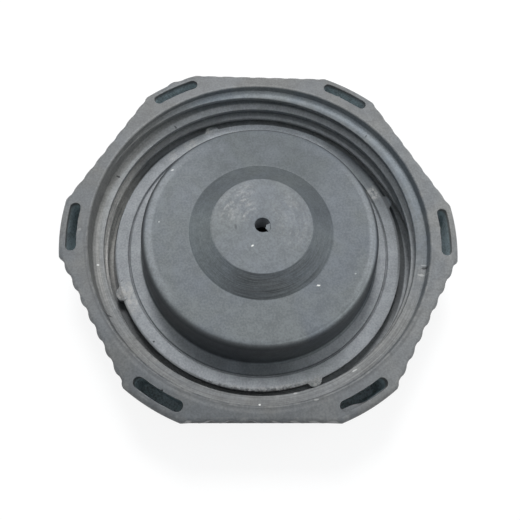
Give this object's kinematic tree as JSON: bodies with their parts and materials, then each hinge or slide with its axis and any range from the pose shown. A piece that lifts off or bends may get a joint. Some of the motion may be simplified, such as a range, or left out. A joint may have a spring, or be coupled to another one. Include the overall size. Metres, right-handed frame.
{
  "type": "fuel cap",
  "caption": "Black hexagonal screw cap for a fuel filler neck, open side up, with ribbed flats, a coarse inner thread and a vented rubber insert shaped like a top hat.",
  "frame": {"origin": "middle of the flat outer face, which the cap lies on", "axes": "+Z along the thread's axis towards the open side; +X through the middle of a rounded corner; +Y through the middle of a ribbed flat"},
  "size_m": [0.0814, 0.0758, 0.0181],
  "materials": {
    "shell_plastic": "matte moulded faded black plastic with a fine grain",
    "insert_rubber": "matte moulded faded black rubber with fine turning lines"
  },
  "bodies": {
    "root": {"cap_shell": "shell_plastic", "seal_insert": "insert_rubber"}
  },
  "joints": []
}
